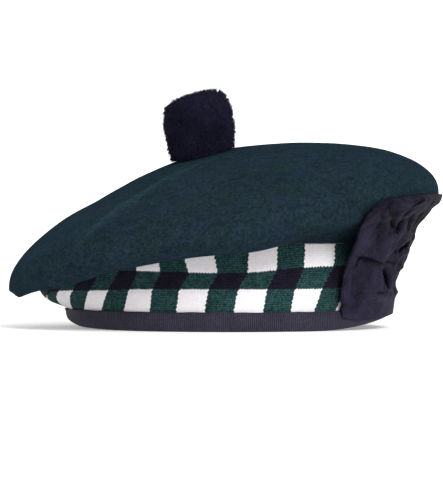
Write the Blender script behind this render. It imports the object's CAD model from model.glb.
"""A balmoral bonnet: felted crown, diced knitted band, bound edge, ribbon cockade and wool toorie.

Metres, +Z up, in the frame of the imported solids. The front faces -Y, and the cockade is at +X.
"""

import math
import random
from functools import lru_cache

import bmesh
import bpy
from mathutils import Matrix, Vector, noise


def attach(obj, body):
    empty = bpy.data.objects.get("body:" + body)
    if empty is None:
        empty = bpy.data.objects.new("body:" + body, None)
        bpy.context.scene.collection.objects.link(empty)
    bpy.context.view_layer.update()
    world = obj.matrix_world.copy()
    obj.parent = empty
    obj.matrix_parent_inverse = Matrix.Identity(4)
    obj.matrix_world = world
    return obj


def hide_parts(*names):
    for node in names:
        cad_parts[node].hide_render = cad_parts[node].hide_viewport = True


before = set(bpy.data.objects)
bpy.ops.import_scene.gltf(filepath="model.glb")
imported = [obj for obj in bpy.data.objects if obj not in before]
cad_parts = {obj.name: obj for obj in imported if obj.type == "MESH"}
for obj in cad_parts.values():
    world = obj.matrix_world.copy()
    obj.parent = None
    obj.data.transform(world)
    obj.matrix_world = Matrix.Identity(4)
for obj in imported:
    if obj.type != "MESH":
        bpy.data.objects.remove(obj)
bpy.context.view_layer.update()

MM = 0.001

# Camera. The bonnet was photographed from straight in front, almost level, through a long lens.
CAMERA_DISTANCE = 2.4
CAMERA_RISE = 0.7
LOOKED_AT = Vector((-0.0020, 0, 0.0436))
VIEW_WIDTH = 256 * MM
FARTHEST_SEEN = 50

camera = bpy.data.objects.new("camera", bpy.data.cameras.new("camera"))
bpy.context.scene.collection.objects.link(camera)
rise = math.radians(CAMERA_RISE)
to_camera = Vector((0, -math.cos(rise), math.sin(rise)))
camera.location = LOOKED_AT + to_camera * CAMERA_DISTANCE
camera.rotation_euler = to_camera.to_track_quat("Z", "Y").to_euler()
camera.data.sensor_fit = "HORIZONTAL"
camera.data.angle = 2 * math.atan(VIEW_WIDTH / 2 / CAMERA_DISTANCE)
camera.data.clip_end = FARTHEST_SEEN
bpy.context.scene.camera = camera

# Floor and light. A sweep of lit white paper under an even pale sky, with one broad soft lamp
# high in front, a little to the right.
SWEEP_WIDTH = 14.0
SWEEP_NEAR = 5.0
SWEEP_FAR = 3.0
SWEEP_BEND = 1.5
SWEEP_HEIGHT = 7.0
PAPER_WHITE = (0.90, 0.90, 0.90, 1)
PAPER_GLOW = 0.30
SKY_STRENGTH = 0.60
LAMP_STRENGTH = 2.3
LAMP_ANGLE = 28
LAMP_PLACE = (1.0, -2.4, 2.0)

quarter_bend = SWEEP_BEND * math.pi / 2
sweep_length = SWEEP_NEAR + SWEEP_FAR + quarter_bend + SWEEP_HEIGHT
sweep = bmesh.new()
bmesh.ops.create_grid(sweep, x_segments=1, y_segments=60, size=0.5)
for vertex in sweep.verts:
    run = (vertex.co.y + 0.5) * sweep_length - SWEEP_NEAR
    turn = min(max(run - SWEEP_FAR, 0) / SWEEP_BEND, math.pi / 2)
    climb = max(run - SWEEP_FAR - quarter_bend, 0)
    level = min(run, SWEEP_FAR) + SWEEP_BEND * math.sin(turn)
    height = SWEEP_BEND * (1 - math.cos(turn)) + climb
    vertex.co = Vector((vertex.co.x * SWEEP_WIDTH, level, height))
sweep_mesh = bpy.data.meshes.new("paper_sweep")
sweep.to_mesh(sweep_mesh)
sweep.free()
sweep_mesh.shade_smooth()
paper = bpy.data.materials.new("lit_white_paper")
paper.use_nodes = True
paper_shader = paper.node_tree.nodes["Principled BSDF"]
paper_shader.inputs["Base Color"].default_value = PAPER_WHITE
paper_shader.inputs["Roughness"].default_value = 0.95
paper_shader.inputs["Specular IOR Level"].default_value = 0.1
paper_shader.inputs["Emission Color"].default_value = (1, 1, 1, 1)
paper_shader.inputs["Emission Strength"].default_value = PAPER_GLOW
sweep_mesh.materials.append(paper)
paper_sweep = bpy.data.objects.new("paper_sweep", sweep_mesh)
bpy.context.scene.collection.objects.link(paper_sweep)

sky = bpy.data.worlds.new("pale_sky")
sky.use_nodes = True
sky_light = sky.node_tree.nodes["Background"]
sky_light.inputs["Color"].default_value = (1, 1, 1, 1)
sky_light.inputs["Strength"].default_value = SKY_STRENGTH
bpy.context.scene.world = sky
bpy.context.scene.view_settings.view_transform = "Standard"

lamp = bpy.data.lights.new("soft_lamp", "SUN")
lamp.angle = math.radians(LAMP_ANGLE)
lamp.energy = LAMP_STRENGTH
lamp_stand = bpy.data.objects.new("soft_lamp", lamp)
lamp_stand.location = LAMP_PLACE
lamp_stand.rotation_euler = lamp_stand.location.to_track_quat("Z", "Y").to_euler()
bpy.context.scene.collection.objects.link(lamp_stand)

# Diced band. Three rows of dice in white, black and bottle green wool, knitted in the round. It
# stands round the head, and on the wearer's right the crown drags it out over the lower edge.
BAND_WIDTH = 186.4 * MM
BAND_DEPTH = 191.4 * MM
BAND_CENTRE_X = 2 * MM
BAND_WALL = 2.4 * MM
SLUMP_NARROWNESS = 5.5
DICE_ROW = 12.6 * MM
DICE_ROWS = 3
BINDING_HEIGHT = 11.2 * MM
BINDING_WALL = 1.2 * MM
FOOT_TUCK_AT_COCKADE = 1.6 * MM
FOOT_TUCK_AT_SLUMP = 3.6 * MM
FOOT_ROUND_AT_SLUMP = 5 * MM
FOOT_LIFT_AT_COCKADE = 7 * MM
FOOT_LIFT_AT_SLUMP = 0.7 * MM
FOOT_ON_FLOOR = 60.0
CLEARANCE = 0.3 * MM
BAND_HEIGHT = DICE_ROW * DICE_ROWS
SEAM_HEIGHT = BINDING_HEIGHT + BAND_HEIGHT
BAND_OUTLINE = (
    dict(upright_out=0.00, upright_up=0.0, slumped_out=0.00, slumped_up=0.00),
    dict(upright_out=0.05, upright_up=1.0, slumped_out=1.00, slumped_up=0.45),
    dict(upright_out=0.07, upright_up=2.0, slumped_out=1.38, slumped_up=1.20),
    dict(upright_out=0.00, upright_up=3.0, slumped_out=1.28, slumped_up=2.00),
)


def smooth(before, start, end, after, share):
    """A point on the smooth curve from start to end, given the points before and after."""
    bend = 2 * before - 5 * start + 4 * end - after
    twist = 3 * (start - end) + after - before
    return start + 0.5 * share * (end - before + share * (bend + share * twist))


def come(value, start, run):
    """How far a value has come along a run from its start, 0 to 1."""
    return min(1.0, max(0.0, (value - start) / run))


def eased(share):
    """A share that leaves 0 and reaches 1 without a corner."""
    return share * share * (3 - 2 * share)


def swell(offset, spread):
    """A soft swelling, 1 in its middle and fading over its spread."""
    return math.exp(-(offset / spread) ** 2)


def turn_between(start, angle):
    """How far an angle lies from another, -180 to 180 degrees."""
    return (angle - start + 180) % 360 - 180


def waviness(point, scale, height, shift=(0, 0, 0)):
    """The unevenness of handled cloth at a point, up to a height in millimetres."""
    return noise.noise(point * scale + Vector(shift)) * height * MM


def slump(angle):
    """How far the crown drags the band out at an angle, from 0 for upright to 1 at -X."""
    return max(0.0, -math.cos(math.radians(angle))) ** SLUMP_NARROWNESS


def through(points, share):
    """A point on the smooth curve through the inner points of a list. Its ends only guide it."""
    spans = len(points) - 3
    place = min(share * spans, spans - 1e-9)
    first = int(place)
    return smooth(*points[first:first + 4], place - first)


def direction(angle):
    """The level direction at an angle in degrees from the cockade."""
    turn = math.radians(angle)
    return Vector((math.cos(turn), math.sin(turn), 0))


def on_oval(width, depth, angle):
    """A point on a level oval round the origin."""
    way = direction(angle)
    return Vector((way.x * width / 2, way.y * depth / 2, 0))


def foot_point(angle, height, out):
    """A point at a height on the upright foot of the bonnet, out from the band's outer face."""
    centre = Vector((BAND_CENTRE_X, 0, height))
    return centre + on_oval(BAND_WIDTH, BAND_DEPTH, angle) + direction(angle) * out


def settled(point):
    """Moves a point as the soft foot gives way: at each side it lifts and curls in."""
    around = Vector((point.x - BAND_CENTRE_X, point.y, 0)).normalized()
    limit = math.cos(math.radians(FOOT_ON_FLOOR))
    lifted = max(0.0, (abs(around.x) - limit) / (1 - limit)) ** 2
    below = 1 - come(point.z, 0, BINDING_HEIGHT)
    if around.x > 0:
        lifted *= FOOT_LIFT_AT_COCKADE * (1 - come(point.z, BINDING_HEIGHT, BAND_HEIGHT))
        tuck = FOOT_TUCK_AT_COCKADE * below
    else:
        lifted *= FOOT_LIFT_AT_SLUMP * below
        rounded = come(below, 0.5, 0.5) ** 2
        tuck = FOOT_TUCK_AT_SLUMP * below + FOOT_ROUND_AT_SLUMP * rounded
    return point - around * tuck * around.x ** 2 + Vector((0, 0, lifted))


@lru_cache(maxsize=None)
def band_edges(angle):
    """The edges of the dice rows at an angle, out from the foot and up. The ends are guides."""
    slumped = slump(angle)
    edges = []
    for row in BAND_OUTLINE:
        out = row["upright_out"] + slumped * (row["slumped_out"] - row["upright_out"])
        up = row["upright_up"] + slumped * (row["slumped_up"] - row["upright_up"])
        edges.append(Vector((out, up)) * DICE_ROW)
    return [2 * edges[0] - edges[1]] + edges + [2 * edges[-1] - edges[-2]]


def band_point(angle, share):
    """The band's outer face at a share of the way from the binding's top edge to the seam."""
    place = through(band_edges(angle), share)
    return foot_point(angle, BINDING_HEIGHT, place.x) + Vector((0, 0, place.y))


def woven(name, across, along, place, wall, material, chart=None, tone=None):
    """A wall of cloth with a map of its own. place gives its outer face for two shares."""
    mesh = bmesh.new()
    cloth = mesh.loops.layers.uv.new("cloth")
    dark = mesh.verts.layers.float.new("tone")
    bmesh.ops.create_grid(mesh, x_segments=across, y_segments=along, size=0.5, calc_uvs=True)
    for face in mesh.faces:
        for loop in face.loops:
            shares = (loop.vert.co.x + 0.5, loop.vert.co.y + 0.5)
            loop[cloth].uv = chart(*shares) if chart else shares
    for vertex in mesh.verts:
        shares = (vertex.co.x + 0.5, vertex.co.y + 0.5)
        vertex[dark] = tone(*shares) if tone else 0.0
        vertex.co = settled(place(*shares))
    bmesh.ops.remove_doubles(mesh, verts=mesh.verts, dist=0.002 * MM)
    piece = finished(name, mesh, material)
    solidify = piece.modifiers.new("wall", "SOLIDIFY")
    solidify.thickness = wall
    solidify.offset = -1
    solidify.use_even_offset = True
    return piece


def finished(name, mesh, material):
    """The bmesh as a named object with its material, shaded smooth, riding on the bonnet."""
    data = bpy.data.meshes.new(name)
    mesh.to_mesh(data)
    mesh.free()
    data.materials.append(material)
    data.shade_smooth()
    piece = bpy.data.objects.new(name, data)
    bpy.context.scene.collection.objects.link(piece)
    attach(piece, "root")
    return piece


def add_node(material, kind, *inputs, **settings):
    """A shader node with its settings. Its inputs are linked or set in order."""
    node = material.node_tree.nodes.new(kind)
    for key, value in settings.items():
        setattr(node, key, value)
    for socket, value in zip(node.inputs, inputs):
        if isinstance(value, bpy.types.NodeSocket):
            material.node_tree.links.new(value, socket)
        else:
            socket.default_value = value
    return node


def sums(material, operation, *inputs):
    """The result of a Math node."""
    return add_node(material, "ShaderNodeMath", *inputs, operation=operation).outputs[0]


def weighed(material, total, *parts):
    """A total with more added to it: each part is a value and its weight."""
    for value, weight in parts:
        total = sums(material, "MULTIPLY_ADD", value, weight, total)
    return total


def mixed(material, factor, first, second):
    """The colour between two colours by a factor."""
    node = add_node(material, "ShaderNodeMix", data_type="RGBA")
    for name, value in (("Factor_Float", factor), ("A_Color", first), ("B_Color", second)):
        socket = next(s for s in node.inputs if s.identifier == name)
        if isinstance(value, bpy.types.NodeSocket):
            material.node_tree.links.new(value, socket)
        else:
            socket.default_value = value
    return next(s for s in node.outputs if s.identifier == "Result_Color")


def speckle(material, where, scale, detail, low, high):
    """Noise of a scale, spread so that low becomes 0 and high becomes 1."""
    grain = add_node(material, "ShaderNodeTexNoise")
    grain.inputs["Scale"].default_value = scale
    grain.inputs["Detail"].default_value = detail
    material.node_tree.links.new(where, grain.inputs["Vector"])
    spread = add_node(material, "ShaderNodeMapRange", grain.outputs["Fac"], low, high, 0.0, 1.0)
    return spread.outputs["Result"]


def on_cloth(material):
    """A cloth's coordinates: across it and along it, and its place on the bonnet."""
    chart = add_node(material, "ShaderNodeUVMap", uv_map="cloth").outputs["UV"]
    shares = add_node(material, "ShaderNodeSeparateXYZ", chart).outputs
    place = add_node(material, "ShaderNodeTexCoord").outputs["Object"]
    return shares["X"], shares["Y"], place


def cloth_finish(name, colour, roughness, gloss, sheen, sheen_tint):
    """A cloth material with its even values set on the shader."""
    material = bpy.data.materials.new(name)
    material.use_nodes = True
    shader = material.node_tree.nodes["Principled BSDF"]
    shader.inputs["Base Color"].default_value = (*colour, 1)
    shader.inputs["Roughness"].default_value = roughness
    shader.inputs["Specular IOR Level"].default_value = gloss
    shader.inputs["Sheen Weight"].default_value = sheen
    shader.inputs["Sheen Roughness"].default_value = 0.5
    shader.inputs["Sheen Tint"].default_value = (*sheen_tint, 1)
    return material


def coloured(material, colour):
    """Links a colour to the shader."""
    shader = material.node_tree.nodes["Principled BSDF"]
    material.node_tree.links.new(colour, shader.inputs["Base Color"])


def raised(material, height, distance, strength):
    """Links a height in shares of a distance to the shader as a bump."""
    bump = add_node(material, "ShaderNodeBump")
    bump.inputs["Strength"].default_value = strength
    bump.inputs["Distance"].default_value = distance
    material.node_tree.links.new(height, bump.inputs["Height"])
    shader = material.node_tree.nodes["Principled BSDF"]
    material.node_tree.links.new(bump.outputs["Normal"], shader.inputs["Normal"])


WHITE_WOOL = (0.96, 0.95, 0.96, 1)
WHITE_HOLLOW = (0.82, 0.76, 0.79, 1)
GREEN_WOOL = (0.040, 0.114, 0.112, 1)
GREEN_HOLLOW = (0.003, 0.008, 0.010, 1)
BLACK_WOOL = (0.021, 0.017, 0.038, 1)
BLACK_HOLLOW = (0.003, 0.003, 0.005, 1)
STITCHES = 10
WALE_STRAY = 0.35
COURSE_STRAY = -0.3
COURSE_DIP = 1.2
DIE_SIDE_STEP = 0.4
LEG_WIDTH = 0.25

knit = cloth_finish(
    "diced_knit", GREEN_WOOL[:3],
    roughness=0.95, gloss=0.05, sheen=0.02, sheen_tint=(0.8, 0.85, 0.85),
)
around, upward, place = on_cloth(knit)
uneven = speckle(knit, place, scale=260, detail=2, low=0.3, high=0.7)
stitch = weighed(knit, 0.0, (around, STITCHES), (uneven, WALE_STRAY))
row = weighed(knit, 0.0, (upward, STITCHES), (uneven, COURSE_STRAY))

# The stitches hang as Vs, so a course dips between its wales. The side of a die steps with every
# second course.
from_wale = sums(knit, "ABSOLUTE", sums(knit, "SUBTRACT", sums(knit, "FRACT", stitch), 0.5))
course = weighed(knit, row, (from_wale, -COURSE_DIP))
pair = sums(knit, "FRACT", sums(knit, "MULTIPLY", course, 0.5))
whole_stitch = sums(knit, "FLOOR", weighed(knit, stitch, (pair, -DIE_SIDE_STEP)))
whole_course = sums(knit, "ADD", sums(knit, "FLOOR", course), 0.5)
whole_row = sums(knit, "FLOOR", sums(knit, "DIVIDE", whole_course, STITCHES))
die = sums(knit, "MODULO", sums(knit, "ADD", whole_stitch, 0.5), 2.0 * STITCHES)
in_second = sums(knit, "GREATER_THAN", die, STITCHES)
in_middle = sums(knit, "COMPARE", whole_row, 1.0, 0.1)

# Each leg of a stitch is round and catches the light unevenly.
leg = weighed(knit, -1.0, (from_wale, 1 / LEG_WIDTH))
leg = sums(knit, "SUBTRACT", 1.0, sums(knit, "MULTIPLY", leg, leg))
loop = sums(knit, "SINE", sums(knit, "MULTIPLY", sums(knit, "FRACT", course), math.pi))
loop = sums(knit, "MULTIPLY", sums(knit, "MAXIMUM", loop, 0.0), sums(knit, "MAXIMUM", leg, 0.0))
fuzz = speckle(knit, place, scale=900, detail=3, low=0.38, high=0.62)
blotch = speckle(knit, place, scale=170, detail=3, low=0.35, high=0.65)
lit_loop = sums(knit, "MULTIPLY", loop, weighed(knit, 0.35, (fuzz, 0.9)))
lit_loop = sums(knit, "MULTIPLY", lit_loop, weighed(knit, 0.8, (blotch, 0.5)))


def dyed(white, green, black):
    """The colour of each die: the outer rows are white and green, the middle green and black."""
    first_die = mixed(knit, in_middle, white, green)
    second_die = mixed(knit, in_middle, green, black)
    return mixed(knit, in_second, first_die, second_die)


yarn = dyed(WHITE_WOOL, GREEN_WOOL, BLACK_WOOL)
under = dyed(WHITE_HOLLOW, GREEN_HOLLOW, BLACK_HOLLOW)
coloured(knit, mixed(knit, sums(knit, "MINIMUM", lit_loop, 1.0), under, yarn))
raised(knit, weighed(knit, loop, (fuzz, 0.3)), distance=0.30 * MM, strength=0.5)

HEM_SHARE = 0.16
STEADY_ENDS = 6
WHITE_PAD = 0.30 * MM
WHITE_PAD_EDGE = 1.6 * MM
BAND_FOOT = (BINDING_WALL + CLEARANCE) / (1 - FOOT_LIFT_AT_SLUMP / BINDING_HEIGHT)

# The dice lean and shift with the pull of the crown and the cockade. Angles are in degrees from
# the cockade, and the rest is in dice or rows of dice.
DICE_ROUND = 36
DICE_START = -88.3
DICE_LEAN = 0.235
LOW_ROW_LEAN = 0.55
MIDDLE_ROW_LEAN = 1.45
TOP_ROW_LEAN = 0.2
LOW_ROW_SHORT = 0.05
LOWERED_ROWS = 0.28
LOWERED_OVER = 0.7
LOWERED_AT = 88.0
LOWERED_TO_COCKADE = 18
LOWERED_TO_SLUMP = 50
DRAGGED_LEAN = 1.2
DRAGGED_FROM = 120.0
DRAGGED_ROWS = 0.34
DRAGGED_ROWS_FROM = 134
DRAGGED_ROWS_OVER = 34
UNDRAGGED_FROM = 164
UNDRAGGED_OVER = 10
COCKADE_PULL = 0.22
FOOT_PULL = 0.15
PULLED_FROM = -67.0
PULLED_UNIT = 15
PULLED_OVER = 20.0
FOLDED_LEAN = 0.30
FOLDED_FROM = 84
FOLDED_OVER = 14


def dice_chart(across, up):
    """The knitting at a place on the band, in dice round it and in rows up from the binding.

    The upper rows are lowered at the front, and the top row leans less on the slumped side.
    """
    row = (up - HEM_SHARE) / (1 - HEM_SHARE) * DICE_ROWS
    angle = 360 * across
    from_cockade = abs(turn_between(0, angle))
    beyond = from_cockade - LOWERED_AT
    lowered = LOWERED_ROWS * swell(beyond, LOWERED_TO_SLUMP if beyond > 0 else LOWERED_TO_COCKADE)
    row += LOW_ROW_SHORT * come(row, 0, 1) + lowered * come(row, 1, LOWERED_OVER)

    lean = LOW_ROW_LEAN * min(row, 1) + MIDDLE_ROW_LEAN * come(row, 1, 1)
    lean = DICE_LEAN * (lean + TOP_ROW_LEAN * max(row - 2, 0))
    lean += DRAGGED_LEAN * max(0.0, from_cockade / DRAGGED_FROM - 1) * 2 * (row - 0.5)
    past_pull = (angle - 360 if angle > 180 else angle) - PULLED_FROM
    pulled = min(max(past_pull, 0.0), PULLED_OVER) / PULLED_UNIT
    lean += COCKADE_PULL * pulled ** 2 * come(row, 0, 2) - FOOT_PULL * pulled * max(1 - row, 0)
    lean -= FOLDED_LEAN * come(from_cockade, FOLDED_FROM, FOLDED_OVER) * max(row - 2, 0)

    risen = eased(come(from_cockade, DRAGGED_ROWS_FROM, DRAGGED_ROWS_OVER))
    fallen = 1 - come(from_cockade, UNDRAGGED_FROM, UNDRAGGED_OVER)
    row -= DRAGGED_ROWS * risen * fallen
    return (angle - DICE_START) / 360 * DICE_ROUND - lean, row


def white_pad(across, up):
    """How far a place on the band is inside a white die, 0 at its edge to 1 well inside it."""
    column, row = dice_chart(across, up)
    along = column % 2
    if along > 1 or 1 <= row < 2:
        return 0.0
    from_edge = min(along, 1 - along, row % 1, 1 - row % 1) * DICE_ROW
    return min(1.0, from_edge / WHITE_PAD_EDGE)


def band_place(across, up):
    """The band's outer face. Its lowest part stands inside the fold of the binding."""
    angle = 360 * across
    if up < HEM_SHARE:
        height = BAND_FOOT + (BINDING_HEIGHT - BAND_FOOT) * up / HEM_SHARE
        return foot_point(angle, height, 0)
    share = (up - HEM_SHARE) / (1 - HEM_SHARE)
    point = band_point(angle, share)
    steady = min(1.0, STEADY_ENDS * share, STEADY_ENDS * (1 - share))
    sway = waviness(point, scale=45, height=0.45) + waviness(point, scale=130, height=0.12)
    return point + direction(angle) * (sway + WHITE_PAD * white_pad(across, up)) * steady


diced_band = woven("band", 720, 62, band_place, BAND_WALL, knit, dice_chart)
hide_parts("diced_band")

# Binding. Black ribbed ribbon, folded lengthwise round the lower edge of the band and stitched
# through just under its top edge.
BINDING_CORNER = 1.4 * MM
BINDING_RIBS = 520
BINDING_STITCHED_AT = 0.83
BINDING_PUFF = 0.45 * MM
BINDING_WAVE = 0.15 * MM
BINDING_EDGE_WAVE = 0.35 * MM
STEPS_DOWN = 7
STEPS_ROUND = 5
STEPS_UP = 5



def ribs(material, turn):
    """Ribs from a turn in radians, 0 between them and 1 along their tops."""
    return weighed(material, 0.5, (sums(material, "SINE", turn), 0.5))


ribbed = cloth_finish(
    "black_petersham", (0.032, 0.029, 0.045),
    roughness=0.7, gloss=0.10, sheen=0.02, sheen_tint=(0.8, 0.75, 0.9),
)
around, _, place = on_cloth(ribbed)
wander = speckle(ribbed, place, scale=160, detail=2, low=0.3, high=0.7)
rib = ribs(ribbed, weighed(ribbed, 0.0, (around, BINDING_RIBS * math.tau), (wander, 2.2)))
fuzz = speckle(ribbed, place, scale=1200, detail=2, low=0.35, high=0.65)
cloudy = speckle(ribbed, place, scale=70, detail=3, low=0.3, high=0.7)
shade = weighed(ribbed, -0.06, (rib, 0.62), (cloudy, 0.22), (fuzz, 0.30))
coloured(ribbed, mixed(ribbed, shade, (0.005, 0.004, 0.008, 1), (0.051, 0.046, 0.074, 1)))
raised(ribbed, weighed(ribbed, rib, (fuzz, 0.3)), distance=0.22 * MM, strength=0.6)


def binding_outline():
    """Places on the binding's outer face, down outside, flat below and up inside."""
    outside = CLEARANCE + BINDING_WALL
    inside = -(BAND_WALL + 2 * CLEARANCE + BINDING_WALL)
    top = BINDING_HEIGHT - CLEARANCE
    side = top - BINDING_CORNER
    down = [(outside, top - side * step / STEPS_DOWN) for step in range(STEPS_DOWN + 1)]
    outer, inner = [], []
    for step in range(1, STEPS_ROUND + 1):
        turn = math.radians(90 * step / STEPS_ROUND)
        level = BINDING_CORNER * (1 - math.cos(turn))
        upright = BINDING_CORNER * (1 - math.sin(turn))
        outer.append((outside - level, upright))
        inner.append((inside + upright, level))
    up = [(inside, BINDING_CORNER + side * step / STEPS_UP) for step in range(1, STEPS_UP + 1)]
    return down + outer + [(inside + BINDING_CORNER, 0)] + inner + up


BINDING_PLACES = binding_outline()


def binding_place(across, share):
    """The binding's outer face, slightly puffed between its stitched edge and the fold."""
    out, height = BINDING_PLACES[round(share * (len(BINDING_PLACES) - 1))]
    angle = -360 * across
    if out > 0 and height > BINDING_CORNER:
        rise = (height - BINDING_CORNER) / (BINDING_HEIGHT - BINDING_CORNER)
        if rise < BINDING_STITCHED_AT:
            out += BINDING_PUFF * math.sin(math.pi * min(1.0, rise * 1.2))
        out += BINDING_WAVE * noise.noise(Vector((angle / 4, height * 400, 0)))
        height += BINDING_EDGE_WAVE * rise * noise.noise(Vector((angle / 7, 3, 0)))
    return foot_point(angle, height, out)


binding_piece = woven(
    "edge_binding", 480, len(BINDING_PLACES) - 1, binding_place, BINDING_WALL, ribbed
)
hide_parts("binding")

# Crown. Milled wool cloth in bottle green, blocked into one soft bag: its underside turns out
# from the seam, rolls round the rim and closes over the top, which is drawn down on one side.
CROWN_WIDTH = 249.6 * MM
CROWN_DEPTH = 262 * MM
CROWN_RISE = 51 * MM
CROWN_WALL = 2.6 * MM
CROWN_FULLNESS = 1.45
SLOPE_TO_COCKADE = 0.25
SLOPE_TO_BACK = 0.10
FOLD_REACH = 10 * MM
PRESSED_BY_COCKADE = 1.2 * MM
PRESSED_SPREAD = 24
SEAT = Vector((-12.9 * MM, -8 * MM, SEAM_HEIGHT + CROWN_RISE))
STEADY_ROUND_SEAT = 60 * MM
UNDER_SHARE = 0.44

# One row for each 45 degrees round the bonnet, anticlockwise from the cockade. Each place is a
# share of the way out from the seam to the rim and a height above the seam. The height is a share
# of FOLD_REACH for the fold and the hug, where the felt lies close over the band, and of
# CROWN_RISE for the lowest felt and the rim.
CROWN_SECTIONS = (
    dict(fold=(0.09, 0.35), hug=(0.34, 0.95), low=(0.70, 0.39), rim=(1.00, 0.57)),
    dict(fold=(0.07, 0.40), hug=(0.28, 0.60), low=(0.60, 0.21), rim=(1.00, 0.51)),
    dict(fold=(0.07, 0.38), hug=(0.26, 0.20), low=(0.58, 0.00), rim=(1.00, 0.27)),
    dict(fold=(0.10, 0.32), hug=(0.27, -0.40), low=(0.58, -0.31), rim=(1.00, -0.13)),
    dict(fold=(0.13, 0.34), hug=(0.30, -0.45), low=(0.57, -0.61), rim=(1.00, -0.50)),
    dict(fold=(0.10, 0.32), hug=(0.27, -0.50), low=(0.58, -0.36), rim=(1.00, -0.225)),
    dict(fold=(0.06, 0.36), hug=(0.24, 0.10), low=(0.56, -0.07), rim=(1.00, 0.137)),
    dict(fold=(0.08, 0.38), hug=(0.34, 0.80), low=(0.68, 0.25), rim=(1.00, 0.52)),
)
CROWN_SAGS = (
    dict(angle=-141, spread=12, depth=0.060),
    dict(angle=-80, spread=14, depth=0.070),
    dict(angle=118, spread=16, depth=0.060),
    dict(angle=58, spread=14, depth=0.050),
)
CROWN_DENTS = (
    dict(angle=-158, out=0.52, turn=62, length=0.136, width=0.044, depth=0.0100),
    dict(angle=-126, out=0.61, turn=-17, length=0.170, width=0.020, depth=-0.0070),
    dict(angle=-118, out=0.60, turn=75, length=0.120, width=0.052, depth=0.0048),
    dict(angle=162, out=0.58, turn=-58, length=0.144, width=0.052, depth=0.0072),
    dict(angle=-52, out=0.66, turn=80, length=0.128, width=0.048, depth=0.0040),
    dict(angle=60, out=0.62, turn=70, length=0.128, width=0.056, depth=0.0048),
)


@lru_cache(maxsize=None)
def at_angle(part, angle):
    """The out and up of a part of CROWN_SECTIONS at any angle, smooth all the way round."""
    count = len(CROWN_SECTIONS)
    place = (angle % 360) * count / 360
    first = int(place)
    nearest = [CROWN_SECTIONS[(first + k) % count][part] for k in (-1, 0, 1, 2)]
    return [smooth(*values, place - first) for values in zip(*nearest)]


def sag(angle):
    """How far the underside of the crown sags over the band at an angle."""
    total = 0.0
    for dip in CROWN_SAGS:
        total += dip["depth"] * swell(turn_between(dip["angle"], angle), dip["spread"])
    return total * CROWN_RISE


@lru_cache(maxsize=None)
def rim_point(angle):
    """The outermost felt at an angle. The cockade presses it in a little."""
    rim = on_oval(CROWN_WIDTH, CROWN_DEPTH, angle)
    rim.z = SEAM_HEIGHT + at_angle("rim", angle)[1] * CROWN_RISE
    pressed = PRESSED_BY_COCKADE * swell(turn_between(0, angle), PRESSED_SPREAD)
    return rim - direction(angle) * pressed


def dent_share(dent, point):
    """How far a point is in a dent, 1 in the middle of it."""
    middle = SEAT.lerp(rim_point(dent["angle"]), dent["out"])
    offset = point - middle
    way = direction(dent["angle"] + dent["turn"])
    along = (offset.x * way.x + offset.y * way.y) / (dent["length"] * CROWN_WIDTH)
    beside = (offset.y * way.x - offset.x * way.y) / (dent["width"] * CROWN_WIDTH)
    return math.exp(-along ** 2 - beside ** 2)


def dent_depth(point):
    """How far the dents sink the top of the crown at a point."""
    return sum(dent["depth"] * dent_share(dent, point) for dent in CROWN_DENTS) * CROWN_WIDTH


def dome_point(angle, turn):
    """The felt on top, from the toorie's seat at turn 0 to the rim at turn 90 degrees."""
    rim = rim_point(angle)
    share = math.sin(math.radians(turn)) ** (2 / CROWN_FULLNESS)
    fall = 1 - math.cos(math.radians(turn))
    tilt = Vector((SLOPE_TO_COCKADE, SLOPE_TO_BACK, 0))
    drop = rim.z - SEAT.z - tilt.dot(rim - SEAT)
    point = SEAT.lerp(rim, share)
    point.z = SEAT.z + tilt.dot(rim - SEAT) * share + drop * fall
    point.z -= dent_depth(point) * math.cos(math.radians(turn)) ** 0.5
    return point


@lru_cache(maxsize=None)
def under_points(angle):
    """The felt from the seam over its fold and round the roll to the rim. The ends are guides."""
    seam = band_point(angle, 1)
    below = band_point(angle, 0.8)
    seam = seam + (seam - below).normalized() * CLEARANCE * 0.2
    rim = rim_point(angle)

    def outward(share, height):
        point = seam.lerp(rim, share)
        point.z = height
        return point

    fold_out, fold_up = at_angle("fold", angle)
    fold = outward(fold_out, seam.z + fold_up * FOLD_REACH)
    hug_out, hug_up = at_angle("hug", angle)
    hug = outward(hug_out, seam.z + hug_up * FOLD_REACH)
    low_out, low_up = at_angle("low", angle)
    low_height = SEAM_HEIGHT + low_up * CROWN_RISE - sag(angle)
    low = outward(low_out, low_height)
    diagonal = math.sqrt(0.5)
    roll = outward(low_out + (1 - low_out) * diagonal, rim.z + (low_height - rim.z) * diagonal)
    return [below, seam, fold, hug, low, roll, rim, dome_point(angle, 75)]


def on_dome(across, share):
    """The felt on top, at shares round the crown and from the rim to the toorie's seat."""
    return dome_point(360 * across, 90 * (1 - (share - UNDER_SHARE) / (1 - UNDER_SHARE)))


def crown_place(across, share):
    """The crown's outer face, with the slight waviness of felt that has been handled."""
    if share <= UNDER_SHARE:
        point = through(under_points(360 * across), share / UNDER_SHARE)
        steady = share / UNDER_SHARE
    else:
        point = on_dome(across, share)
        steady = min(1.0, (point - SEAT).length / STEADY_ROUND_SEAT)
    wave = waviness(point, scale=22, height=0.9)
    wave += waviness(point, scale=70, height=0.25, shift=(7, 3, 1))
    out = (point - Vector((0, 0, SEAM_HEIGHT))).normalized()
    return point + out * wave * steady * steady


def rubbed(across, share):
    """How far the nap is rubbed pale, 1 along the crest of a crease that stands up."""
    if share <= UNDER_SHARE:
        return 0.0
    point = on_dome(across, share)
    return sum(dent_share(dent, point) for dent in CROWN_DENTS if dent["depth"] < 0)


FELT_COLD = (0.0190, 0.0335, 0.0560, 1)
FELT_GREEN = (0.0180, 0.0365, 0.0400, 1)
FELT_DEEP = (0.0050, 0.0098, 0.0125, 1)
LINT = (0.080, 0.110, 0.120, 1)
RUBBED = (0.030, 0.075, 0.092, 1)
LINT_STRETCH = 3.2
LINT_TURN = (0.5, 0.4, 0.6)

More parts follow.
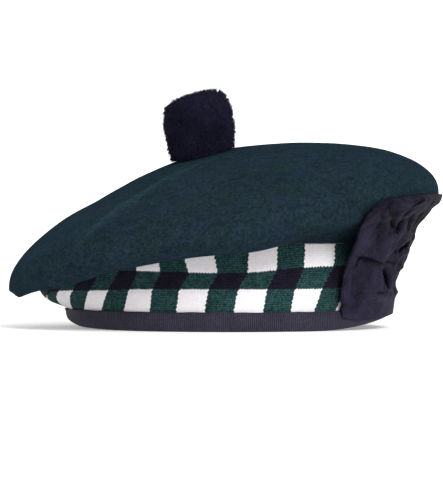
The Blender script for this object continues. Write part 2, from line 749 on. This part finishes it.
felt = cloth_finish(
    "bottle_green_felt", FELT_COLD[:3],
    roughness=1.0, gloss=0.0, sheen=0.012, sheen_tint=(0.25, 0.65, 1.0),
)
place = add_node(felt, "ShaderNodeTexCoord").outputs["Object"]
nap = speckle(felt, place, scale=1500, detail=2, low=0.36, high=0.64)
mottle = speckle(felt, place, scale=560, detail=4, low=0.38, high=0.62)
patchy = speckle(felt, place, scale=170, detail=4, low=0.38, high=0.62)
cloudy = speckle(felt, place, scale=34, detail=3, low=0.35, high=0.65)
hue = speckle(felt, place, scale=60, detail=4, low=0.3, high=0.7)
shade = weighed(felt, 0.0, (nap, 0.22), (mottle, 0.44), (patchy, 0.18), (cloudy, 0.12))
combed = add_node(felt, "ShaderNodeMapping", place)
combed.inputs["Rotation"].default_value = LINT_TURN
combed.inputs["Scale"].default_value = (1.0, 1.0, LINT_STRETCH)
lint = speckle(felt, combed.outputs[0], scale=560, detail=3, low=0.65, high=0.78)
body = mixed(felt, shade, mixed(felt, hue, FELT_COLD, FELT_GREEN), FELT_DEEP)
crest = add_node(felt, "ShaderNodeAttribute", attribute_name="tone").outputs["Fac"]
crest = sums(felt, "MULTIPLY", crest, weighed(felt, 0.42, (patchy, -0.25)))
body = mixed(felt, sums(felt, "MAXIMUM", crest, 0.0), body, RUBBED)
coloured(felt, mixed(felt, sums(felt, "MULTIPLY", lint, 0.55), body, LINT))
raised(felt, weighed(felt, nap, (mottle, 0.6)), distance=0.24 * MM, strength=0.6)

crown_piece = woven("felt_crown", 240, 126, crown_place, CROWN_WALL, felt, tone=rubbed)
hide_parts("crown")

# Cockade. Broad black ribbed ribbon, tucked under at its edges, bridging from the bound edge to
# the rim and crushed into soft folds.
COCKADE_FRONT_ANGLE = -48.2
COCKADE_BACK_ANGLE = 4.0
COCKADE_WALL = 1.2 * MM
COCKADE_SAG = 6.8 * MM
COCKADE_CRUMPLE = 0.7 * MM
RIPPLE_SHARE = 0.55
CREASE_SHARE = 0.9
COCKADE_BELOW_RIM = 1.5 * MM
COCKADE_HEM = 4.5 * MM
COCKADE_LOFT = 3.6 * MM
COCKADE_PUFF = 3.2 * MM
COCKADE_PUFF_AT = 0.95
COCKADE_PUFF_SPREAD = 0.07
COCKADE_PUFF_REACH = 0.45
COCKADE_FOOT_LOW = 0.012
COCKADE_FOOT_CORNER = 0.08
COCKADE_FOOT_REACH = 0.22
CORNER_IN = -2.5
CORNER_IN_AT = 0.925
CORNER_IN_SPREAD = 0.075
CORNER_OUT = 2.1
CORNER_OUT_FROM = 0.96
CORNER_REACH = 0.15
BINDING_STEP = 8 * MM
RIBBON_WIDTH = 90
RIBBON_HEIGHT = 78
TURNED_IN = 1.4
SUNK_FROM = 0.45
SUNK_OVER = 0.35
FOLD_REACHES = 4
FOLD_SHADE = 1.25
EDGE_SHADE = 0.7
EDGE_SHADE_REACH = 0.01
HEAD_SHADE = 0.4
HEAD_SHADE_REACH = 0.03
UPPER_SHADE = 0.25
MIDDLE_SHADE = 0.6
BACK_SHADE = 0.30
FOOT_LIGHT = 0.30
FOOT_LIGHT_SPREAD = 0.17
DEEPEST_SHADE = 1.2
COCKADE_COLUMNS = 22
COCKADE_ROWS = 26

# A row for each eighth of the way up. turn is how far the front edge turns from its angle, in
# degrees, and sunk how far the part that is turned away from the front hangs in, in millimetres.
COCKADE_EDGE = (
    dict(turn=1.0, sunk=0.0),
    dict(turn=-0.6, sunk=-0.6),
    dict(turn=-2.1, sunk=1.9),
    dict(turn=-2.5, sunk=0.2),
    dict(turn=-2.1, sunk=-1.4),
    dict(turn=-1.8, sunk=-0.3),
    dict(turn=-2.5, sunk=3.0),
    dict(turn=-2.4, sunk=1.3),
    dict(turn=0.5, sunk=3.0),
)
# Each fold runs from start to end. A place is a share across the ribbon, from its front edge to
# its back edge, and a share up it. width and depth are in millimetres, and depth is outward. A lap
# stands proud on its left, seen along its run, and drops steeply on its right. tone is how far the
# ribbon in the fold is in its own shade.
COCKADE_FOLDS = (
    dict(kind="ridge", start=(0.03, 0.53), end=(0.035, 0.2), width=2.4, depth=0.8, tone=-0.16),
    dict(kind="crease", start=(0.08, 0.49), end=(0.09, 0.27), width=2.0, depth=-0.6, tone=0.22),
    dict(kind="ridge", start=(0.02, 0.84), end=(0.07, 0.62), width=6.5, depth=1.9, tone=-0.25),
    dict(kind="ridge", start=(0.165, 0.77), end=(0.25, 0.57), width=3.0, depth=-1.8, tone=0.32),
    dict(kind="ridge", start=(0.29, 0.72), end=(0.35, 0.54), width=3.2, depth=1.3, tone=-0.25),
    dict(kind="lap", start=(0.075, 0.56), end=(0.19, 0.52), width=6.0, depth=2.2, tone=1.10),
    dict(kind="lap", start=(0.19, 0.52), end=(0.325, 0.475), width=5.0, depth=1.8, tone=0.90),
    dict(kind="crease", start=(0.075, 0.56), end=(0.085, 0.47), width=0.9, depth=-1.0, tone=0.80),
    dict(kind="ridge", start=(0.175, 0.36), end=(0.2, 0.2), width=6.0, depth=-1.2, tone=0.30),
    dict(kind="ridge", start=(0.285, 0.42), end=(0.295, 0.28), width=4.5, depth=0.6, tone=-0.14),
    dict(kind="ridge", start=(0.34, 0.43), end=(0.39, 0.245), width=1.3, depth=1.8, tone=-0.40),
    dict(kind="slot", start=(0.405, 0.41), end=(0.51, 0.265), width=1.5, depth=-3.6, tone=1.10),
    dict(kind="ridge", start=(0.5, 0.4), end=(0.545, 0.26), width=1.3, depth=1.8, tone=-0.85),
    dict(kind="crease", start=(0.345, 0.23), end=(0.43, 0.22), width=0.9, depth=-1.4, tone=0.90),
    dict(kind="ridge", start=(0.125, 0.88), end=(0.225, 0.765), width=3.0, depth=1.6, tone=-0.40),
    dict(kind="crease", start=(0.085, 0.905), end=(0.16, 0.77), width=1.5, depth=-1.5, tone=0.45),
    dict(kind="crease", start=(0.085, 0.95), end=(0.325, 0.755), width=2.2, depth=-2.6, tone=0.85),
    dict(kind="slot", start=(0.155, 0.915), end=(0.28, 0.8), width=1.6, depth=-0.9, tone=0.28),
    dict(kind="ridge", start=(0.24, 0.87), end=(0.312, 0.805), width=1.1, depth=0.8, tone=-0.55),
    dict(kind="slot", start=(0.34, 0.815), end=(0.37, 0.73), width=1.5, depth=-3.4, tone=1.10),
    dict(kind="ridge", start=(0.32, 0.865), end=(0.43, 0.705), width=1.5, depth=1.9, tone=-0.45),
    dict(kind="ridge", start=(0.425, 0.85), end=(0.5, 0.755), width=1.7, depth=-2.2, tone=0.75),
    dict(kind="lap", start=(0.38, 0.975), end=(0.275, 0.915), width=2.5, depth=0.9, tone=1.00),
    dict(kind="crease", start=(0.275, 0.915), end=(0.3, 0.855), width=0.9, depth=-1.0, tone=0.70),
    dict(kind="ridge", start=(0.15, 0.935), end=(0.25, 0.925), width=3.4, depth=0.9, tone=-0.50),
    dict(kind="slot", start=(0.535, 0.57), end=(0.68, 0.64), width=1.8, depth=-3.2, tone=1.10),
    dict(kind="ridge", start=(0.555, 0.515), end=(0.735, 0.57), width=1.8, depth=1.3, tone=-0.30),
    dict(kind="ridge", start=(0.48, 0.63), end=(0.68, 0.7), width=2.2, depth=1.3, tone=-0.25),
    dict(kind="ridge", start=(0.4, 0.615), end=(0.425, 0.59), width=1.5, depth=1.5, tone=-0.35),
    dict(kind="ridge", start=(0.485, 0.545), end=(0.515, 0.525), width=1.5, depth=1.2, tone=-0.25),
    dict(kind="crease", start=(0.44, 0.6), end=(0.48, 0.55), width=1.2, depth=-1.3, tone=0.55),
    dict(kind="crease", start=(0.36, 0.49), end=(0.515, 0.463), width=1.1, depth=-1.3, tone=0.60),
    dict(kind="ridge", start=(0.255, 0.195), end=(0.6, 0.14), width=2.0, depth=0.7, tone=-0.30),
    dict(kind="ridge", start=(0.53, 0.93), end=(0.64, 0.74), width=2.2, depth=-1.8, tone=0.60),
    dict(kind="ridge", start=(0.72, 0.9), end=(0.84, 0.62), width=2.8, depth=1.6, tone=-0.15),
    dict(kind="lap", start=(0.62, 0.45), end=(0.86, 0.38), width=4.0, depth=1.0, tone=0.90),
    dict(kind="crease", start=(0.84, 0.66), end=(0.88, 0.38), width=1.8, depth=-1.8, tone=0.60),
    dict(kind="crease", start=(0.68, 0.3), end=(0.74, 0.12), width=1.5, depth=-1.5, tone=0.50),
    dict(kind="crease", start=(0.88, 0.88), end=(0.95, 0.66), width=1.3, depth=-1.4, tone=0.50),
)


def support(angle, height):
    """The outermost reach of what lies behind the cockade, at a height."""
    if height < BINDING_HEIGHT:
        return foot_point(angle, height, CLEARANCE + BINDING_WALL)
    if height < SEAM_HEIGHT:
        above = (height - BINDING_HEIGHT - BINDING_STEP / 4) / BINDING_STEP
        step = (CLEARANCE + BINDING_WALL) * (1 - come(above, 0, 1))
        return band_point(angle, (height - BINDING_HEIGHT) / BAND_HEIGHT) + direction(angle) * step
    points = under_points(angle)
    low, high = 0.0, 1.0
    for _ in range(20):
        middle = (low + high) / 2
        if through(points, middle).z < height:
            low = middle
        else:
            high = middle
    return through(points, high)


def against(angle, height):
    """The cockade's outer face at a height where the ribbon lies on what is behind it."""
    clear = COCKADE_WALL + 2 * CLEARANCE
    way = direction(angle)
    point = support(angle, height)
    reach = 0.0
    for step in range(-4, 5):
        rise = clear * step / 4
        out = support(angle, height + rise).dot(way)
        reach = max(reach, out + math.sqrt(clear ** 2 - rise ** 2))
    return point + way * (reach - point.dot(way))


def edge_value(column, up):
    """A column of COCKADE_EDGE at a share of the way up."""
    values = [row[column] for row in COCKADE_EDGE]
    return through([2 * values[0] - values[1]] + values + [values[-1]], up)


@lru_cache(maxsize=None)
def cockade_post(column, row):
    """Where the ribbon lies behind and where it would bridge, at a crossing of a coarse grid."""
    across = min(max(column / COCKADE_COLUMNS, 0.0), 1.0)
    up = min(max(row / COCKADE_ROWS, 0.0), 1.0)
    front = COCKADE_FRONT_ANGLE + edge_value("turn", up)
    corner = CORNER_IN * swell(up - CORNER_IN_AT, CORNER_IN_SPREAD)
    corner += CORNER_OUT * come(up, CORNER_OUT_FROM, 1 - CORNER_OUT_FROM) ** 2
    corner *= math.exp(-across / CORNER_REACH)
    angle = front + across * (COCKADE_BACK_ANGLE - front) + corner
    head_height = rim_point(angle).z - COCKADE_BELOW_RIM
    height = CLEARANCE + up * (head_height - CLEARANCE)
    behind = against(angle, height)
    share = max(0.0, (height - BINDING_HEIGHT) / (head_height - BINDING_HEIGHT))
    bridge = against(angle, BINDING_HEIGHT).lerp(against(angle, head_height), share)
    way = direction(angle)
    bridge -= way * COCKADE_SAG * 4 * share * (1 - share)
    return behind, (bridge - behind).dot(way), share


def between_posts(part, across, up):
    """One part of cockade_post, smoothed between the crossings of the coarse grid."""
    x = min(across * COCKADE_COLUMNS, COCKADE_COLUMNS - 1e-6)
    y = min(up * COCKADE_ROWS, COCKADE_ROWS - 1e-6)
    column, row = int(x), int(y)
    lines = []
    for r in (row - 1, row, row + 1, row + 2):
        values = [cockade_post(column + k, r)[part] for k in (-1, 0, 1, 2)]
        lines.append(smooth(*values, x - column))
    return smooth(*lines, y - row)


def on_ribbon(across, up):
    """A place on the ribbon in millimetres, from its front edge and its foot."""
    return Vector((across * RIBBON_WIDTH, up * RIBBON_HEIGHT))


def beside_fold(fold, across, up):
    """How far a place is from a fold, on which side, above 0 for its left, and how far along."""
    start = on_ribbon(*fold["start"])
    run = on_ribbon(*fold["end"]) - start
    offset = on_ribbon(across, up) - start
    share = come(offset.dot(run), 0, run.length_squared)
    return (offset - run * share).length, run.cross(offset), share


def folded(across, up):
    """How far all the folds raise the ribbon at a place, in millimetres, and their tone there."""
    raise_by, tone = 0.0, 0.0
    for fold in COCKADE_FOLDS:
        beside, side, share = beside_fold(fold, across, up)
        widths = beside / fold["width"]
        if widths > FOLD_REACHES:
            continue
        if fold["kind"] == "ridge":
            profile = shade = math.exp(-widths ** 2)
        elif fold["kind"] == "slot":
            profile = shade = math.exp(-widths ** 4)
        elif fold["kind"] == "crease":
            profile, shade = math.exp(-1.3 * widths), math.exp(-1.8 * widths)
        elif side > 0:
            profile, shade = math.exp(-1.2 * widths), math.exp(-2.5 * beside)
        else:
            profile, shade = math.exp(-2.2 * beside), math.exp(-0.8 * beside)
        fade = 1 - 0.5 * (2 * share - 1) ** 4
        raise_by += fold["depth"] * profile * fade
        tone += fold["tone"] * shade * fade
    return raise_by, tone


def above_foot(across, up):
    """The share of the way up the bonnet at a share up the ribbon. Its foot rises at the front."""
    foot = COCKADE_FOOT_LOW + COCKADE_FOOT_CORNER * math.exp(-across / COCKADE_FOOT_REACH)
    return foot + (1 - foot) * up


def cockade_tone(across, up):
    """How far the ribbon is in its own shade, 1 in the bottom of a fold and under 0 on a ridge."""
    up = above_foot(across, up)
    front_edge = math.exp(-across / EDGE_SHADE_REACH) * min(1.0, (1 - up) / 0.15, up / 0.2)
    head_edge = math.exp(-(1 - up) / HEAD_SHADE_REACH)
    tone = FOLD_SHADE * folded(across, up)[1] + EDGE_SHADE * front_edge + HEAD_SHADE * head_edge
    tone += UPPER_SHADE * come(up, start=0.66, run=0.2) + MIDDLE_SHADE * across * (1 - across)
    upper_back = come(across, start=0.42, run=0.2) * come(up, start=0.62, run=0.12)
    tone += BACK_SHADE * upper_back
    tone -= FOOT_LIGHT * (1 + across) * swell(up, FOOT_LIGHT_SPREAD)
    return min(DEEPEST_SHADE, tone)


def crumple(across, up):
    """How far the fine crumple raises the ribbon: low ridges, with ripples and creases on them."""
    ridge = 0.5 - abs(noise.noise(Vector((across * 9, up * 8, 4))))
    ripple = noise.noise(Vector((across * 19, up * 23, 9)))
    crease = 0.25 - abs(noise.noise(Vector((across * 34, up * 24, 6))))
    return COCKADE_CRUMPLE * (ridge + RIPPLE_SHARE * (ripple + CREASE_SHARE * crease))


def cockade_place(across, up):
    """The cockade's outer face, with its folds and a fine crumple. Its front edge is turned in."""
    up = above_foot(across, up)
    behind = between_posts(0, across, up)
    stand_off = between_posts(1, across, up)
    share = between_posts(2, across, up)
    if share <= 0:
        return behind
    from_back = (1 - across) * RIBBON_WIDTH * MM
    from_end = min(share, 1 - share) * RIBBON_HEIGHT * MM
    hemmed = math.sin(min(from_back / COCKADE_HEM, from_end / COCKADE_HEM, 1.0) * math.pi / 2)
    puff = COCKADE_PUFF * swell(up - COCKADE_PUFF_AT, COCKADE_PUFF_SPREAD)
    puff *= math.exp(-(across / COCKADE_PUFF_REACH) ** 4)
    aside = eased(come(across, SUNK_FROM, SUNK_OVER))
    clear = (stand_off + math.hypot(stand_off, COCKADE_LOFT)) / 2
    out = clear + puff + folded(across, up)[0] * MM + crumple(across, up)
    out -= edge_value("sunk", up) * MM * aside
    turned_in = max(0.0, 1 - across * RIBBON_WIDTH / TURNED_IN) * min(1.0, (1 - up) / 0.12)
    out = max(0.0, out * hemmed - TURNED_IN * MM * turned_in ** 2)
    return behind + Vector((behind.x, behind.y, 0)).normalized() * out


LEVEL_RIBS = 62 * math.tau
RIB_SLANT = -14 * math.tau
UPRIGHT_RIBS = 76 * math.tau
FRONT_ROLL = 0.085
RIBBON_DARK = (0.0019, 0.0015, 0.0035, 1)
RIBBON_PALE = (0.0345, 0.0298, 0.0575, 1)

ribbon = cloth_finish(
    "black_ribbon", (0.013, 0.012, 0.022),
    roughness=0.6, gloss=0.015, sheen=0.0, sheen_tint=(0.8, 0.75, 0.95),
)
around, upward, place = on_cloth(ribbon)

# The ribs run level over the ribbon, and upright in the roll along its front edge.
drift = speckle(ribbon, place, scale=40, detail=2, low=0.2, high=0.8)
level = weighed(ribbon, 0.0, (upward, LEVEL_RIBS), (around, RIB_SLANT), (drift, 20.0))
upright = weighed(ribbon, 0.0, (around, UPRIGHT_RIBS), (drift, 6.0))
in_roll = sums(ribbon, "LESS_THAN", around, FRONT_ROLL)
rib = ribs(ribbon, weighed(ribbon, level, (sums(ribbon, "SUBTRACT", upright, level), in_roll)))
clear_rib = speckle(ribbon, place, scale=55, detail=2, low=0.40, high=0.65)
fuzz = speckle(ribbon, place, scale=1300, detail=2, low=0.35, high=0.65)
cloudy = speckle(ribbon, place, scale=90, detail=4, low=0.32, high=0.68)
tone = add_node(ribbon, "ShaderNodeAttribute", attribute_name="tone").outputs["Fac"]
shade = weighed(ribbon, -0.01, (rib, weighed(ribbon, 0.08, (clear_rib, 0.50))))
shade = weighed(ribbon, shade, (cloudy, 0.34), (fuzz, 0.36), (tone, -0.55))
coloured(ribbon, mixed(ribbon, shade, RIBBON_DARK, RIBBON_PALE))
height = weighed(ribbon, 0.0, (rib, 0.8), (fuzz, 0.3))
raised(ribbon, height, distance=0.18 * MM, strength=0.6)

cockade_piece = woven(
    "ribbon_cockade", 176, 200, cockade_place, COCKADE_WALL, ribbon, tone=cockade_tone
)
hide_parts("cockade")

# Toorie. A ball of black wool: strands tied through their middle, cut and clipped to a drum that
# leans a little, sewn to the middle of the crown.
TOORIE_RADIUS = 20.3 * MM
TOORIE_HEIGHT = 41.2 * MM
TOORIE_LEAN = 7.0
TOORIE_SINK = 6 * MM
TOORIE_SEAT_ROUND = 1.6 * MM
TOORIE_CORNER_ABOVE = 4.0
TOORIE_CORNER_UNEVEN = 1.3
TOORIE_CORNER_BELOW = 6.5
TOORIE_NARROWING = 0.09
TOORIE_CANT = 0.14
TOORIE_CORE = 0.90
TOORIE_UNEVEN = (dict(scale=4, by=0.035), dict(scale=11, by=0.03), dict(scale=21, by=0.055))
STRANDS = 7000
STRANDS_TOGETHER = 70
STRAND_LENGTH = 6.5 * MM
STRAND_ROOT = 0.55 * MM
STRAND_TIP = 0.16 * MM
STRAND_GROWS_FROM = 0.6
STRAND_WANDER = 0.45
STRAND_STRAY = 0.02
STRAND_TURN = 1.6
CLIPPED = (-0.045, 0.02)
MISSED_SHARE = 0.16
MISSED = (0.02, 0.07)
GOLDEN_TURN = math.pi * (3 - math.sqrt(5))
WOOL_DARK = (0.0050, 0.0050, 0.0130, 1)
WOOL_PALE = (0.0225, 0.0210, 0.0480, 1)

wool = cloth_finish(
    "black_wool", (0.011, 0.011, 0.026),
    roughness=1.0, gloss=0.03, sheen=0.05, sheen_tint=(0.75, 0.75, 1.0),
)
place = add_node(wool, "ShaderNodeTexCoord").outputs["Object"]
lock = speckle(wool, place, scale=700, detail=2, low=0.3, high=0.7)
cloudy = speckle(wool, place, scale=90, detail=2, low=0.3, high=0.7)
shade = weighed(wool, 0.0, (lock, 0.6), (cloudy, 0.4))
coloured(wool, mixed(wool, shade, WOOL_DARK, WOOL_PALE))
raised(wool, lock, distance=0.4 * MM, strength=0.6)


def drum_place(way, reach):
    """A point of the clipped drum in a direction, at a share of the way to its surface."""
    corner = TOORIE_CORNER_BELOW
    if way.z >= 0:
        corner = TOORIE_CORNER_ABOVE - TOORIE_CORNER_UNEVEN * max(0.0, way.x)
    drummed = abs(way.z) ** corner + math.hypot(way.x, way.y) ** corner
    point = way * reach * drummed ** (-1 / corner)
    narrowing = 1 + TOORIE_NARROWING * min(0.0, point.z)
    cant = TOORIE_CANT * point.x * max(0.0, point.z)
    return Vector((
        point.x * narrowing * TOORIE_RADIUS,
        point.y * narrowing * TOORIE_RADIUS,
        (point.z + cant) * TOORIE_HEIGHT / 2,
    ))


slope = Vector((-SLOPE_TO_COCKADE, -SLOPE_TO_BACK, 1)).normalized()
lean = Matrix.Rotation(math.radians(-TOORIE_LEAN), 4, "Y")
up_from_seat = Matrix.Translation(Vector((0, 0, TOORIE_HEIGHT / 2 - TOORIE_SINK)))
stand = Matrix.Translation(SEAT) @ lean @ up_from_seat


def off_crown(point):
    """A point kept above the felt that the toorie is sewn to."""
    beside = point - SEAT
    rounding = TOORIE_SEAT_ROUND * (math.hypot(beside.x, beside.y) / TOORIE_RADIUS) ** 2
    above = beside.dot(slope) + rounding - 2 * CLEARANCE
    return point - slope * min(0.0, above)


def cut_strand(tuft, number):
    """Adds one strand to a tuft, pointing outward with its tip where it is clipped."""
    height = 1 - 2 * (number + clip.random()) / STRANDS
    turn = number * GOLDEN_TURN + clip.uniform(-STRAND_STRAY, STRAND_STRAY)
    level = math.sqrt(1 - height * height)
    way = Vector((level * math.cos(turn), level * math.sin(turn), height))
    uneven = sum(part["by"] * noise.noise(way * part["scale"]) for part in TOORIE_UNEVEN)
    clipped = 1.0 + uneven + clip.uniform(*CLIPPED)
    if clip.random() < MISSED_SHARE:
        clipped += clip.uniform(*MISSED)
    tip = stand @ drum_place(way, clipped)
    grow = (tip - stand @ drum_place(way, STRAND_GROWS_FROM)).normalized()
    wander = noise.noise_vector(way * 8 + Vector((3, 1, 4)))
    grow = (grow + STRAND_WANDER * wander).normalized()
    strand = bmesh.ops.create_cone(
        tuft, segments=4, cap_ends=True,
        radius1=STRAND_ROOT, radius2=STRAND_TIP, depth=STRAND_LENGTH,
    )["verts"]
    spin = Matrix.Rotation(clip.uniform(0, STRAND_TURN), 4, "Z")
    turned = grow.to_track_quat("Z", "Y").to_matrix().to_4x4() @ spin
    moved = Matrix.Translation(tip - grow * STRAND_LENGTH / 2) @ turned
    for vertex in strand:
        vertex.co = off_crown(moved @ vertex.co)


noise.seed_set(5)
clip = random.Random(5)
pile = bmesh.new()
bmesh.ops.create_uvsphere(pile, u_segments=48, v_segments=32, radius=1)
for vertex in pile.verts:
    vertex.co = off_crown(stand @ drum_place(vertex.co.normalized(), TOORIE_CORE))
for first in range(0, STRANDS, STRANDS_TOGETHER):
    tuft = bmesh.new()
    for number in range(first, first + STRANDS_TOGETHER):
        cut_strand(tuft, number)
    tuft_mesh = bpy.data.meshes.new("tuft")
    tuft.to_mesh(tuft_mesh)
    tuft.free()
    pile.from_mesh(tuft_mesh)
    bpy.data.meshes.remove(tuft_mesh)
toorie_piece = finished("wool_toorie", pile, wool)
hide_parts("toorie")
